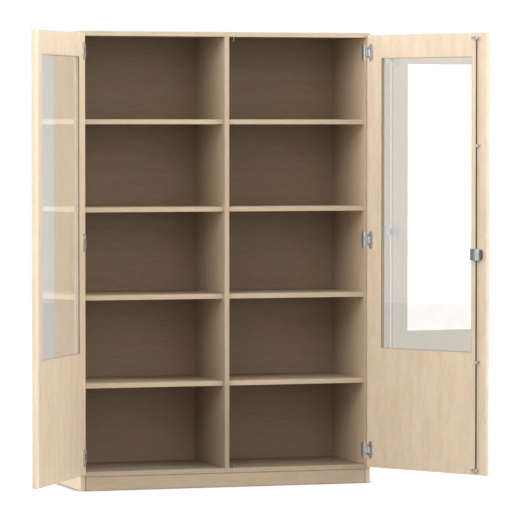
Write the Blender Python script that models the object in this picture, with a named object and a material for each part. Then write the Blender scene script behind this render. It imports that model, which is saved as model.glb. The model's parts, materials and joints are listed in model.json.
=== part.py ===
"""A two-door cabinet with glazed doors, a centre divider, eight shelves, a plinth and a turning-rod lock.

Metres, +Z up, the front towards -Y. The origin is on the floor at the middle of the carcass's footprint. Both
doors rest wide open. A door's pieces are built in the closed pose, round its hinge axis, and hang on an empty that
stands on that axis and holds the open angle. There, u runs from the axis to the door's free edge, and v runs from
the middle of the door's board towards the inside of the cabinet.
"""

import math

import bmesh
import bpy
from mathutils import Matrix

# Carcass
CABINET_WIDTH = 1.200
CABINET_HEIGHT = 1.800
CABINET_DEPTH = 0.420
BOARD = 0.019
BACK_BOARD = 0.008
SHELF_COUNT = 4
SHELF_SETBACK = 0.020
SHELF_END_GAP = 0.0005
GAP = 0.0003
WELD_SHARE = 0.1
SINK = 0.0004
OVERRUN = 0.004

# Plinth
PLINTH_HEIGHT = 0.055
PLINTH_BOARD = 0.016
PLINTH_SETBACK = 0.002

# Doors
DOOR_BOARD = 0.019
DOOR_GAP = 0.0017
DOOR_SIDE_INSET = 0.001
DOOR_MIDDLE_GAP = 0.004
DOOR_TOP_REVEAL = 0.009
DOOR_BOTTOM_REVEAL = 0.0085
HINGE_EDGE_MARGIN = 0.005
LEFT_OPEN_ANGLE = math.radians(123.0)
RIGHT_OPEN_ANGLE = math.radians(121.5)

# Glazing
STILE = 0.071
TOP_RAIL = 0.091
BOTTOM_RAIL = 0.4785
PANE = 0.004
PANE_LIP = 0.003
BEAD_DEPTH = 0.010
BEAD_WIDTH = 0.002

# Closing strip on the left door
STRIP_WIDTH = 0.027
STRIP_OVERHANG = 0.005
STRIP_END_INSET = 0.002

# Hinges
HINGE_END_DISTANCE = 0.069
MIDDLE_HINGE_RISE = 0.047
HINGE_HALF_HEIGHT = 0.035
BODY_PLATE = 0.0035
BODY_PLATE_START = 0.003
BODY_PLATE_WIDTH = 0.037
ARM = 0.004
ARM_START = 0.002
ARM_HALF_HEIGHT = 0.0137
KNUCKLE_RADIUS = 0.0045
PIN_RADIUS = 0.0022
LUG_HEIGHT = 0.006
LEAF_START = 0.0025
LEAF_WIDTH = 0.022
RIB_HEIGHT = 0.0065
RIB_HALF_HEIGHT = 0.029
POCKET_CLEARANCE = 0.0007
PLATE_ROUND_SHARE = 0.72
PLATE_POINTS = 28
EYE_STEPS = 16

# Lock
ROD_RADIUS = 0.003
ROD_FROM_FREE_EDGE = 0.041
ROD_STANDOFF = 0.010
LOCK_CASE_WIDTH = 0.0475
LOCK_CASE_HEIGHT = 0.045
LOCK_CASE_DEPTH = 0.018
LOCK_CASE_WALL = 0.0015
LOCK_CASE_CHAMFER = 0.008
CYLINDER_RADIUS = 0.009
CYLINDER_INSIDE = 0.003
PLUG_RADIUS = 0.006
ROSE_RADIUS = 0.012
ROSE = 0.0025
KEYWAY_WIDTH = 0.0016
KEYWAY_HEIGHT = 0.0075
KEYWAY_DEPTH = 0.006
ROD_HUB_RADIUS = 0.0055
ROD_HUB_HEIGHT = 0.024
ROD_SEAT = 0.008
GUIDE_WIDTH = 0.024
GUIDE_HEIGHT = 0.010
GUIDE_FOOT = 0.002
GUIDE_WALL = 0.0025
UPPER_GUIDE_RISE = 0.425
LOWER_GUIDE_DROP = 0.422

# Hooks and strike pins
HOOK_HEIGHT = 0.012
HOOK_HUB_RADIUS = 0.006
HOOK_WALL = 0.003
HOOK_SWING_CLEARANCE = 0.0008
HOOK_FROM_ANGLE = math.radians(10.0)
HOOK_TO_ANGLE = math.radians(70.0)
HOOK_ARC_STEPS = 8
STRIKE_RADIUS = 0.003
STRIKE_FLANGE_RADIUS = 0.007
STRIKE_FLANGE = 0.002
STRIKE_BESIDE_ROD = 0.0105
STRIKE_BEHIND_ROD = 0.0095

ROUND_SEGMENTS = 24

# Places worked out from the sizes above
HALF_WIDTH = CABINET_WIDTH / 2
FRONT = -CABINET_DEPTH / 2
BACK = CABINET_DEPTH / 2
SIDE_INSIDE = HALF_WIDTH - BOARD
BACK_INSIDE = BACK - BACK_BOARD
FLOOR_BOARD_TOP = PLINTH_HEIGHT + BOARD
TOP_UNDERSIDE = CABINET_HEIGHT - BOARD
CLEAR_HEIGHT = (TOP_UNDERSIDE - FLOOR_BOARD_TOP - SHELF_COUNT * BOARD) / (SHELF_COUNT + 1)

DOOR_BOTTOM = PLINTH_HEIGHT + DOOR_BOTTOM_REVEAL
DOOR_TOP = CABINET_HEIGHT - DOOR_TOP_REVEAL
DOOR_MIDDLE = (DOOR_BOTTOM + DOOR_TOP) / 2
DOOR_WIDTH = HALF_WIDTH - DOOR_SIDE_INSET - DOOR_MIDDLE_GAP / 2
PIVOT_INSET = DOOR_SIDE_INSET + HINGE_EDGE_MARGIN
PIVOT_FORWARD = DOOR_GAP + DOOR_BOARD / 2
HINGE_EDGE = -HINGE_EDGE_MARGIN
FREE_EDGE = DOOR_WIDTH - HINGE_EDGE_MARGIN
INNER_FACE = DOOR_BOARD / 2
OUTER_FACE = -DOOR_BOARD / 2

WINDOW_NEAR = HINGE_EDGE + STILE
WINDOW_FAR = FREE_EDGE - STILE
WINDOW_BOTTOM = DOOR_BOTTOM + BOTTOM_RAIL
WINDOW_TOP = DOOR_TOP - TOP_RAIL
PANE_INNER_FACE = INNER_FACE - BEAD_DEPTH - GAP
PANE_OUTER_FACE = PANE_INNER_FACE - PANE
REBATE_FACE = PANE_OUTER_FACE - GAP

SIDE_FACE_U = BOARD - PIVOT_INSET
BODY_NEAR = SIDE_FACE_U + GAP
BODY_FAR = BODY_NEAR + BODY_PLATE
BODY_CENTRE_V = PIVOT_FORWARD + BODY_PLATE_START + BODY_PLATE_WIDTH / 2
LUG_BOTTOM = ARM_HALF_HEIGHT + GAP
LUG_TOP = LUG_BOTTOM + LUG_HEIGHT
LEAF_FACE = INNER_FACE + GAP
LEAF_THICKNESS = DOOR_GAP - 2 * GAP
LEAF_END = LEAF_START + LEAF_WIDTH
RIB_START = BODY_FAR + GAP
HINGE_HEIGHTS = {
    "top": DOOR_TOP - HINGE_END_DISTANCE,
    "middle": DOOR_MIDDLE + MIDDLE_HINGE_RISE,
    "bottom": DOOR_BOTTOM + HINGE_END_DISTANCE,
}

ROD_U = FREE_EDGE - ROD_FROM_FREE_EDGE
ROD_V = INNER_FACE + ROD_STANDOFF
STRIKE_REACH = math.hypot(STRIKE_BESIDE_ROD, STRIKE_BEHIND_ROD)
HOOK_INNER_RADIUS = STRIKE_REACH + STRIKE_RADIUS + HOOK_SWING_CLEARANCE
HOOK_OUTER_RADIUS = HOOK_INNER_RADIUS + HOOK_WALL
HOOK_END_GAP = GAP + STRIKE_FLANGE + HOOK_SWING_CLEARANCE
STRIKE_LENGTH = STRIKE_FLANGE + HOOK_HEIGHT + 2 * HOOK_SWING_CLEARANCE
ROD_TOP = TOP_UNDERSIDE - HOOK_END_GAP
ROD_BOTTOM = FLOOR_BOARD_TOP + HOOK_END_GAP

RIGHT = 1
LEFT = -1
SIDE_NAMES = {LEFT: "left", RIGHT: "right"}


def material(name, colour, roughness, metallic=0.0, alpha=1.0):
    """A Principled material with one colour."""
    made = bpy.data.materials.new(name)
    made.use_nodes = True
    shader = made.node_tree.nodes["Principled BSDF"]
    shader.inputs["Base Color"].default_value = (*colour, 1.0)
    shader.inputs["Roughness"].default_value = roughness
    shader.inputs["Metallic"].default_value = metallic
    shader.inputs["Alpha"].default_value = alpha
    made.diffuse_color = (*colour, alpha)
    return made


def clear_scene():
    """Removes what the startup scene holds."""
    for found in list(bpy.data.objects):
        bpy.data.objects.remove(found, do_unlink=True)


def new_collection(name):
    made = bpy.data.collections.new(name)
    bpy.context.scene.collection.children.link(made)
    return made


clear_scene()
CABINET = new_collection("glass_door_cabinet")
CUTTERS = new_collection("cutters")

MAPLE = material("maple_laminate", (0.78, 0.62, 0.43), 0.42)
MAPLE_BACK = material("maple_back", (0.66, 0.52, 0.36), 0.55)
DOOR_MAPLE = material("maple_door", (0.80, 0.64, 0.45), 0.40)
EDGE_STRIP = material("pale_strip", (0.90, 0.80, 0.60), 0.45)
CLEAR_GLASS = material("clear_glass", (0.90, 0.94, 0.92), 0.02, alpha=0.25)
BROWN_PLASTIC = material("brown_plastic", (0.14, 0.10, 0.07), 0.50)
CAST_METAL = material("cast_zinc", (0.42, 0.42, 0.40), 0.35, metallic=1.0)
DARK_STEEL = material("dark_steel", (0.13, 0.10, 0.08), 0.40, metallic=1.0)
BRIGHT_STEEL = material("bright_steel", (0.62, 0.62, 0.60), 0.25, metallic=1.0)


def place(made, paint, parent):
    """Puts an object in the cabinet's collection, or among the cutters where it has no material."""
    if paint is None:
        CUTTERS.objects.link(made)
        made.hide_render = True
        made.display_type = "WIRE"
    else:
        CABINET.objects.link(made)
        made.data.materials.clear()
        made.data.materials.append(paint)
    made.parent = parent
    return made


def from_bmesh(name, shape, paint, parent):
    bmesh.ops.recalc_face_normals(shape, faces=shape.faces)
    mesh = bpy.data.meshes.new(name)
    shape.to_mesh(mesh)
    shape.free()
    return place(bpy.data.objects.new(name, mesh), paint, parent)


def box(name, low, high, paint=None, parent=None):
    """A box between two corners, its origin at its middle."""
    shape = bmesh.new()
    bmesh.ops.create_cube(shape, size=1.0)
    size = [b - a for a, b in zip(low, high)]
    bmesh.ops.transform(shape, matrix=Matrix.Diagonal((*size, 1.0)), verts=shape.verts)
    made = from_bmesh(name, shape, paint, parent)
    made.location = [(a + b) / 2 for a, b in zip(low, high)]
    return made


def cylinder(name, centre, radius, length, turn="Z", paint=None, parent=None):
    """A cylinder along Z, or along Y where turn says so."""
    shape = bmesh.new()
    bmesh.ops.create_cone(
        shape, cap_ends=True, segments=ROUND_SEGMENTS, radius1=radius, radius2=radius, depth=length
    )
    if turn == "Y":
        bmesh.ops.transform(shape, matrix=Matrix.Rotation(math.pi / 2, 4, "X"), verts=shape.verts)
    made = from_bmesh(name, shape, paint, parent)
    made.location = centre
    return made


def flat_piece(name, outline, thickness, turn, centre, paint=None, parent=None):
    """A flat outline with a thickness, centred on its own plane, turned by a matrix and put at a place."""
    curve = bpy.data.curves.new(name, "CURVE")
    curve.dimensions = "2D"
    curve.fill_mode = "BOTH"
    curve.extrude = thickness / 2
    spline = curve.splines.new("POLY")
    spline.points.add(len(outline) - 1)
    for point, (across, up) in zip(spline.points, outline):
        point.co = (across, up, 0.0, 1.0)
    spline.use_cyclic_u = True
    drawn = bpy.data.objects.new(name + "_outline", curve)
    CUTTERS.objects.link(drawn)
    graph = bpy.context.evaluated_depsgraph_get()
    mesh = bpy.data.meshes.new_from_object(drawn.evaluated_get(graph))
    bpy.data.objects.remove(drawn, do_unlink=True)
    shape = bmesh.new()
    shape.from_mesh(mesh)
    bpy.data.meshes.remove(mesh)
    bmesh.ops.remove_doubles(shape, verts=shape.verts, dist=GAP * WELD_SHARE)
    bmesh.ops.transform(shape, matrix=turn, verts=shape.verts)
    made = from_bmesh(name, shape, paint, parent)
    made.location = centre
    return made


def combine(made, other, operation):
    """Adds or cuts away another object with a Boolean modifier."""
    step = made.modifiers.new(operation.lower() + "_" + other.name, "BOOLEAN")
    step.operation = operation
    step.solver = "EXACT"
    step.object = other


def spread(hand, near, far):
    """The lower and upper X of a stretch of u on the door of this hand."""
    return sorted((-hand * near, -hand * far))


def door_box(name, hand, u_range, v_range, z_range, paint=None, parent=None):
    """A box in a door's own frame."""
    low_x, high_x = spread(hand, *u_range)
    return box(name, (low_x, v_range[0], z_range[0]), (high_x, v_range[1], z_range[1]), paint, parent)


def rounded_outline(half_width, half_height):
    """A plate with full, softly pointed ends, by a superellipse."""
    points = []
    for step in range(PLATE_POINTS):
        angle = 2 * math.pi * step / PLATE_POINTS
        across, up = math.cos(angle), math.sin(angle)
        points.append(
            (
                half_width * math.copysign(abs(across) ** PLATE_ROUND_SHARE, across),
                half_height * math.copysign(abs(up) ** PLATE_ROUND_SHARE, up),
            )
        )
    return points


# An outline is drawn in X and Y, and these turn it to face along X or along Y
ACROSS_Y_UP_Z = Matrix(((0, 0, 1, 0), (1, 0, 0, 0), (0, 1, 0, 0), (0, 0, 0, 1)))
ACROSS_X_UP_Z = Matrix(((1, 0, 0, 0), (0, 0, -1, 0), (0, 1, 0, 0), (0, 0, 0, 1)))
AS_DRAWN = Matrix.Identity(4)


def build_carcass():
    """The fixed boards: two sides, top, floor, divider and back."""
    for hand, side in SIDE_NAMES.items():
        x_range = sorted((hand * SIDE_INSIDE, hand * HALF_WIDTH))
        box(
            "side_panel_" + side,
            (x_range[0], FRONT, PLINTH_HEIGHT + GAP),
            (x_range[1], BACK, TOP_UNDERSIDE - GAP),
            MAPLE,
        )
    box(
        "top_panel",
        (-HALF_WIDTH, FRONT, TOP_UNDERSIDE),
        (HALF_WIDTH, BACK, CABINET_HEIGHT),
        MAPLE,
    )
    box(
        "bottom_panel",
        (-SIDE_INSIDE + GAP, FRONT, PLINTH_HEIGHT + GAP),
        (SIDE_INSIDE - GAP, BACK_INSIDE - GAP, FLOOR_BOARD_TOP),
        MAPLE,
    )
    box(
        "centre_divider",
        (-BOARD / 2, FRONT, FLOOR_BOARD_TOP + GAP),
        (BOARD / 2, BACK_INSIDE - GAP, TOP_UNDERSIDE - GAP),
        MAPLE,
    )
    box(
        "back_panel",
        (-SIDE_INSIDE + GAP, BACK_INSIDE, PLINTH_HEIGHT + GAP),
        (SIDE_INSIDE - GAP, BACK, TOP_UNDERSIDE - GAP),
        MAPLE_BACK,
    )


def build_plinth():
    """The base frame: two sides, front, back and a cross board under the divider."""
    for hand, side in SIDE_NAMES.items():
        x_range = sorted((hand * SIDE_INSIDE, hand * HALF_WIDTH))
        box("plinth_side_" + side, (x_range[0], FRONT, 0), (x_range[1], BACK, PLINTH_HEIGHT), MAPLE)
    front_face = FRONT + PLINTH_SETBACK
    inside = SIDE_INSIDE - GAP
    box(
        "plinth_front",
        (-inside, front_face, 0),
        (inside, front_face + PLINTH_BOARD, PLINTH_HEIGHT),
        MAPLE,
    )
    box("plinth_back", (-inside, BACK - PLINTH_BOARD, 0), (inside, BACK, PLINTH_HEIGHT), MAPLE)
    box(
        "plinth_cross_board",
        (-PLINTH_BOARD / 2, front_face + PLINTH_BOARD + GAP, 0),
        (PLINTH_BOARD / 2, BACK - PLINTH_BOARD - GAP, PLINTH_HEIGHT),
        MAPLE,
    )


def build_shelves():
    """Equal shelves in both halves, number 1 the lowest."""
    for hand, side in SIDE_NAMES.items():
        inner_end = BOARD / 2 + SHELF_END_GAP
        outer_end = SIDE_INSIDE - SHELF_END_GAP
        x_range = sorted((hand * inner_end, hand * outer_end))
        for number in range(1, SHELF_COUNT + 1):
            top = FLOOR_BOARD_TOP + number * (CLEAR_HEIGHT + BOARD)
            box(
                "shelf_%s_%d" % (side, number),
                (x_range[0], FRONT + SHELF_SETBACK, top - BOARD),
                (x_range[1], BACK_INSIDE - GAP, top),
                MAPLE,
            )


def hinge_axis(hand, angle):
    """The empty on a door's hinge axis, turned to the door's open angle."""
    axis = bpy.data.objects.new("hinge_axis_" + SIDE_NAMES[hand], None)
    CABINET.objects.link(axis)
    axis.location = (hand * (HALF_WIDTH - PIVOT_INSET), FRONT - PIVOT_FORWARD, 0)
    axis.rotation_euler = (0, 0, hand * angle)
    return axis


def eye_outline(hand, corners):
    """A knuckle round the pin seen from above, from where it meets its arm's front face to its rear side.

    The corners, in u and v, take the outline on round the arm and back to its front face.
    """
    start = math.asin(ARM_START / KNUCKLE_RADIUS)
    turn = start + math.pi * 3 / 2
    points = []
    for step in range(EYE_STEPS + 1):
        angle = start - turn * step / EYE_STEPS
        points.append((KNUCKLE_RADIUS * math.cos(angle), KNUCKLE_RADIUS * math.sin(angle)))
    return [(-hand * u, v) for u, v in points + corners]


def hinge_body(hand, name, height):
    """The fixed half: a plate on the side panel's inside, an arm round its front edge and a knuckle."""
    pivot_x = hand * (HALF_WIDTH - PIVOT_INSET)
    pivot_y = FRONT - PIVOT_FORWARD
    label = "hinge_body_" + name
    plate_x = pivot_x - hand * (BODY_NEAR + BODY_FAR) / 2
    made = flat_piece(
        label,
        rounded_outline(BODY_PLATE_WIDTH / 2, HINGE_HALF_HEIGHT),
        BODY_PLATE,
        ACROSS_Y_UP_Z,
        (plate_x, pivot_y + BODY_CENTRE_V, height),
        CAST_METAL,
    )

    neck_near = BODY_NEAR + SINK
    neck_far = BODY_FAR - SINK
    arm_back = ARM_START + ARM
    corners = [
        (0, arm_back),
        (neck_near, arm_back),
        (neck_near, BODY_CENTRE_V),
        (neck_far, BODY_CENTRE_V),
        (neck_far, ARM_START),
    ]
    centre = (pivot_x, pivot_y, height)
    arm = flat_piece(
        label + "_arm", eye_outline(hand, corners), 2 * ARM_HALF_HEIGHT, AS_DRAWN, centre
    )
    combine(made, arm, "UNION")
    bore_length = 2 * (ARM_HALF_HEIGHT + OVERRUN)
    combine(made, cylinder(label + "_bore", centre, PIN_RADIUS + GAP, bore_length), "DIFFERENCE")
    cylinder("hinge_pin_" + name, centre, PIN_RADIUS, 2 * LUG_TOP, "Z", BRIGHT_STEEL)


def hinge_leaf(hand, name, height, axis):
    """The door's half: a thin plate with a raised rib, and two lugs that hold the pin."""
    label = "hinge_leaf_" + name
    made = flat_piece(
        label,
        rounded_outline(LEAF_WIDTH / 2, HINGE_HALF_HEIGHT),
        LEAF_THICKNESS,
        ACROSS_X_UP_Z,
        (-hand * (LEAF_START + LEAF_WIDTH / 2), LEAF_FACE + LEAF_THICKNESS / 2, height),
        CAST_METAL,
        axis,
    )
    notch_half = LUG_BOTTOM + SINK
    notch = door_box(
        label + "_notch",
        hand,
        (LEAF_START - OVERRUN, RIB_START),
        (LEAF_FACE - OVERRUN, LEAF_FACE + OVERRUN),
        (height - notch_half, height + notch_half),
        parent=axis,
    )
    combine(made, notch, "DIFFERENCE")
    rib_middle = (RIB_START + LEAF_END) / 2
    rib_low = LEAF_FACE + LEAF_THICKNESS / 2
    rib_high = LEAF_FACE + RIB_HEIGHT
    rib = flat_piece(
        label + "_rib",
        rounded_outline((LEAF_END - RIB_START) / 2 - 2 * SINK, RIB_HALF_HEIGHT),
        rib_high - rib_low,
        ACROSS_X_UP_Z,
        (-hand * rib_middle, (rib_low + rib_high) / 2, height),
        parent=axis,
    )
    combine(made, rib, "UNION")
    spine_half = LUG_TOP - SINK
    spine = door_box(
        label + "_spine",
        hand,
        (RIB_START + SINK, rib_middle + SINK),
        (LEAF_FACE + SINK, LEAF_FACE + RIB_HEIGHT / 2),
        (height - spine_half, height + spine_half),
        parent=axis,
    )
    combine(made, spine, "UNION")
    lug_back = LEAF_FACE + LEAF_THICKNESS - SINK
    lug_end = rib_middle - SINK
    corners = [(0, lug_back), (lug_end, lug_back), (lug_end, ARM_START)]
    for end, way in (("upper", 1), ("lower", -1)):
        lug = flat_piece(
            label + "_lug_" + end,
            eye_outline(hand, corners),
            LUG_HEIGHT,
            AS_DRAWN,
            (0, 0, height + way * (LUG_BOTTOM + LUG_TOP) / 2),
            parent=axis,
        )
        combine(made, lug, "UNION")
    bore = cylinder(
        label + "_bore", (0, 0, height), PIN_RADIUS + GAP, 2 * (LUG_TOP + OVERRUN), parent=axis
    )
    combine(made, bore, "DIFFERENCE")


def hinge_pocket(hand, name, height, axis):
    """The cutter that lets a hinge into the door's edge: shallow for the arm and lugs, deep for the knuckle."""
    edge = HINGE_EDGE - OVERRUN
    inside = INNER_FACE + OVERRUN
    knuckle_side = KNUCKLE_RADIUS + POCKET_CLEARANCE
    arm_side = LEAF_END - POCKET_CLEARANCE
    arm_front = ARM_START - POCKET_CLEARANCE
    corners = [
        (edge, -knuckle_side),
        (knuckle_side, -knuckle_side),
        (knuckle_side, arm_front),
        (arm_side, arm_front),
        (arm_side, inside),
        (edge, inside),
    ]
    return flat_piece(
        "pocket_" + name,
        [(-hand * u, v) for u, v in corners],
        2 * (LUG_TOP + POCKET_CLEARANCE),
        AS_DRAWN,
        (0, 0, height),
        parent=axis,
    )


def build_door(hand, angle):
    """A door board with its window, its pane, the bead that holds the pane, and its three hinges."""
    side = SIDE_NAMES[hand]
    axis = hinge_axis(hand, angle)
    board = door_box(
        "door_" + side,
        hand,
        (HINGE_EDGE, FREE_EDGE),
        (OUTER_FACE, INNER_FACE),
        (DOOR_BOTTOM, DOOR_TOP),
        DOOR_MAPLE,
        axis,
    )
    window_u = (WINDOW_NEAR, WINDOW_FAR)
    window_z = (WINDOW_BOTTOM, WINDOW_TOP)

    def inset(stretch, by):
        return (stretch[0] + by, stretch[1] - by)

    rebate = door_box(
        "rebate_" + side, hand, window_u, (REBATE_FACE, INNER_FACE + OVERRUN), window_z, parent=axis
    )
    light = door_box(
        "light_" + side,
        hand,
        inset(window_u, PANE_LIP),
        (OUTER_FACE - OVERRUN, INNER_FACE + OVERRUN),
        inset(window_z, PANE_LIP),
        parent=axis,
    )
    combine(board, rebate, "DIFFERENCE")
    combine(board, light, "DIFFERENCE")
    door_box(
        "pane_" + side,
        hand,
        inset(window_u, GAP),
        (PANE_OUTER_FACE, PANE_INNER_FACE),
        inset(window_z, GAP),
        CLEAR_GLASS,
        axis,
    )
    bead = door_box(
        "glazing_bead_" + side,
        hand,
        inset(window_u, GAP),
        (PANE_INNER_FACE + GAP, INNER_FACE),
        inset(window_z, GAP),
        BROWN_PLASTIC,
        axis,
    )
    bead_light = door_box(
        "bead_light_" + side,
        hand,
        inset(window_u, GAP + BEAD_WIDTH),
        (PANE_INNER_FACE - OVERRUN, INNER_FACE + OVERRUN),
        inset(window_z, GAP + BEAD_WIDTH),
        parent=axis,
    )
    combine(bead, bead_light, "DIFFERENCE")
    for place_name, height in HINGE_HEIGHTS.items():
        name = side + "_" + place_name
        hinge_body(hand, name, height)
        hinge_leaf(hand, name, height, axis)
        combine(board, hinge_pocket(hand, name, height, axis), "DIFFERENCE")
    return board, axis


def build_closing_strip(axis):
    """The flat strip along the left door's free edge, which covers the gap between the doors."""
    strip_end = FREE_EDGE + STRIP_OVERHANG
    door_box(
        "closing_strip",
        LEFT,
        (strip_end - STRIP_WIDTH, strip_end),
        (LEAF_FACE, LEAF_FACE + LEAF_THICKNESS),
        (DOOR_BOTTOM + STRIP_END_INSET, DOOR_TOP - STRIP_END_INSET),
        EDGE_STRIP,
        axis,
    )


def case_outline(inset):
    """The lock case seen from inside the cabinet, square on the hinge side and bevelled on the other."""
    half_width = LOCK_CASE_WIDTH / 2 - inset
    half_height = LOCK_CASE_HEIGHT / 2 - inset
    cut = LOCK_CASE_CHAMFER - inset / 2
    return [
        (half_width, -half_height),
        (half_width, half_height),
        (cut - half_width, half_height),
        (-half_width, half_height - cut),
        (-half_width, cut - half_height),
        (cut - half_width, -half_height),
    ]


def build_lock(board, axis):
    """The lock on the right door: case, cylinder and turning plug."""
    rod_x = -RIGHT * ROD_U
    case_face = INNER_FACE + GAP
    case = flat_piece(
        "lock_case",
        case_outline(0),
        LOCK_CASE_DEPTH,
        ACROSS_X_UP_Z,
        (rod_x, case_face + LOCK_CASE_DEPTH / 2, DOOR_MIDDLE),
        CAST_METAL,
        axis,
    )
    cavity_depth = LOCK_CASE_DEPTH - LOCK_CASE_WALL + OVERRUN
    cavity = flat_piece(
        "lock_case_cavity",
        case_outline(LOCK_CASE_WALL),
        cavity_depth,
        ACROSS_X_UP_Z,
        (rod_x, case_face - OVERRUN + cavity_depth / 2, DOOR_MIDDLE),
        parent=axis,
    )
    combine(case, cavity, "DIFFERENCE")
    rod_hole = cylinder(
        "lock_case_rod_hole",
        (rod_x, ROD_V, DOOR_MIDDLE),
        ROD_RADIUS + GAP,
        LOCK_CASE_HEIGHT + 2 * OVERRUN,
        parent=axis,
    )
    combine(case, rod_hole, "DIFFERENCE")

    def along_door(name, radius, start, end, paint=None):
        centre = (rod_x, (start + end) / 2, DOOR_MIDDLE)
        return cylinder(name, centre, radius, end - start, "Y", paint, axis)

    rose_face = OUTER_FACE - GAP - ROSE
    inside_end = INNER_FACE + CYLINDER_INSIDE
    housing = along_door("lock_cylinder", CYLINDER_RADIUS, rose_face + SINK, inside_end, BRIGHT_STEEL)
    combine(housing, along_door("lock_rose", ROSE_RADIUS, rose_face, rose_face + ROSE), "UNION")
    plug_hole = along_door("plug_hole", PLUG_RADIUS + GAP, rose_face - OVERRUN, inside_end + OVERRUN)
    combine(housing, plug_hole, "DIFFERENCE")
    bore = along_door("lock_bore", CYLINDER_RADIUS + GAP, OUTER_FACE - OVERRUN, INNER_FACE + OVERRUN)
    combine(board, bore, "DIFFERENCE")

    plug = along_door("lock_plug", PLUG_RADIUS, rose_face, inside_end, BRIGHT_STEEL)
    keyway = box(
        "keyway",
        (rod_x - KEYWAY_WIDTH / 2, rose_face - OVERRUN, DOOR_MIDDLE - KEYWAY_HEIGHT / 2),
        (rod_x + KEYWAY_WIDTH / 2, rose_face + KEYWAY_DEPTH, DOOR_MIDDLE + KEYWAY_HEIGHT / 2),
        parent=axis,
    )
    combine(plug, keyway, "DIFFERENCE")


def hook_outline():
    """The hook seen from above, unlocked: a finger on an arc round the rod, on an arm to its hub."""
    points = []
    for step in range(HOOK_ARC_STEPS + 1):
        angle = HOOK_FROM_ANGLE + (HOOK_TO_ANGLE - HOOK_FROM_ANGLE) * step / HOOK_ARC_STEPS
        points.append((HOOK_OUTER_RADIUS * math.cos(angle), HOOK_OUTER_RADIUS * math.sin(angle)))
    arm_angle = HOOK_FROM_ANGLE + math.asin(2 * HOOK_WALL / HOOK_INNER_RADIUS)
    for step in range(HOOK_ARC_STEPS + 1):
        angle = HOOK_TO_ANGLE + (arm_angle - HOOK_TO_ANGLE) * step / HOOK_ARC_STEPS
        points.append((HOOK_INNER_RADIUS * math.cos(angle), HOOK_INNER_RADIUS * math.sin(angle)))
    side_step = (-math.sin(HOOK_FROM_ANGLE) * HOOK_WALL, math.cos(HOOK_FROM_ANGLE) * HOOK_WALL)
    points.append(side_step)
    points.append((0, 0))
    return points


def guide_outline():
    """A rod guide seen from above, round the rod's middle: a flat foot, a saddle on it and a round crown."""
    crown = ROD_RADIUS + GAP + GUIDE_WALL
    foot_front = INNER_FACE + GAP - ROD_V
    foot_back = foot_front + GUIDE_FOOT
    points = []
    for step in range(EYE_STEPS + 1):
        angle = math.pi * step / EYE_STEPS
        points.append((crown * math.cos(angle), crown * math.sin(angle)))
    points += [(-crown, foot_back), (-GUIDE_WIDTH / 2, foot_back), (-GUIDE_WIDTH / 2, foot_front)]
    points += [(GUIDE_WIDTH / 2, foot_front), (GUIDE_WIDTH / 2, foot_back), (crown, foot_back)]
    return points


def build_rods(axis):
    """The two rod halves, the hub that joins them in the case, their hooks and their guides."""
    rod_x = -RIGHT * ROD_U

    def upright(name, radius, start, end, paint=None):
        centre = (rod_x, ROD_V, (start + end) / 2)
        return cylinder(name, centre, radius, end - start, "Z", paint, axis)

    hub_top = DOOR_MIDDLE + ROD_HUB_HEIGHT / 2
    hub_bottom = DOOR_MIDDLE - ROD_HUB_HEIGHT / 2
    hub = upright("rod_hub", ROD_HUB_RADIUS, hub_bottom, hub_top, BRIGHT_STEEL)
    for end, rod_end, hub_end, way in (
        ("upper", ROD_TOP, hub_top, 1),
        ("lower", ROD_BOTTOM, hub_bottom, -1),
    ):
        seat = hub_end - way * ROD_SEAT
        socket = upright(
            "hub_socket_" + end,
            ROD_RADIUS + GAP,
            *sorted((seat - way * GAP, hub_end + way * OVERRUN)),
        )
        combine(hub, socket, "DIFFERENCE")
        upright("rod_" + end, ROD_RADIUS, *sorted((seat, rod_end)), DARK_STEEL)

        hook_range = sorted((rod_end, rod_end - way * HOOK_HEIGHT))
        hook = flat_piece(
            "rod_hook_" + end,
            hook_outline(),
            HOOK_HEIGHT - 2 * SINK,
            AS_DRAWN,
            (rod_x, ROD_V, sum(hook_range) / 2),
            CAST_METAL,
            axis,
        )
        combine(hook, upright("hook_hub_" + end, HOOK_HUB_RADIUS, *hook_range), "UNION")
        bore = upright(
            "hook_bore_" + end, ROD_RADIUS + GAP, hook_range[0] - OVERRUN, hook_range[1] + OVERRUN
        )
        combine(hook, bore, "DIFFERENCE")

    for end, middle in (
        ("upper", DOOR_MIDDLE + UPPER_GUIDE_RISE),
        ("lower", DOOR_MIDDLE - LOWER_GUIDE_DROP),
    ):
        guide = flat_piece(
            "rod_guide_" + end,
            guide_outline(),
            GUIDE_HEIGHT,
            AS_DRAWN,
            (rod_x, ROD_V, middle),
            CAST_METAL,
            axis,
        )
        reach = GUIDE_HEIGHT / 2 + OVERRUN
        bore = upright("guide_bore_" + end, ROD_RADIUS + GAP, middle - reach, middle + reach)
        combine(guide, bore, "DIFFERENCE")


def build_strike_pins():
    """The pins under the top and on the floor board that the hooks catch with the right door closed."""
    pin_x = HALF_WIDTH - PIVOT_INSET - ROD_U - STRIKE_BESIDE_ROD
    pin_y = FRONT - PIVOT_FORWARD + ROD_V + STRIKE_BEHIND_ROD
    for end, face, way in (
        ("top", TOP_UNDERSIDE - GAP, -1),
        ("bottom", FLOOR_BOARD_TOP + GAP, 1),
    ):
        pin_end = face + way * STRIKE_LENGTH
        pin_start = face + way * SINK
        centre = (pin_x, pin_y, (pin_start + pin_end) / 2)
        pin = cylinder(
            "strike_pin_" + end, centre, STRIKE_RADIUS, STRIKE_LENGTH - SINK, "Z", BRIGHT_STEEL
        )
        flange_centre = (pin_x, pin_y, face + way * STRIKE_FLANGE / 2)
        flange = cylinder("strike_flange_" + end, flange_centre, STRIKE_FLANGE_RADIUS, STRIKE_FLANGE)
        combine(pin, flange, "UNION")


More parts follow.
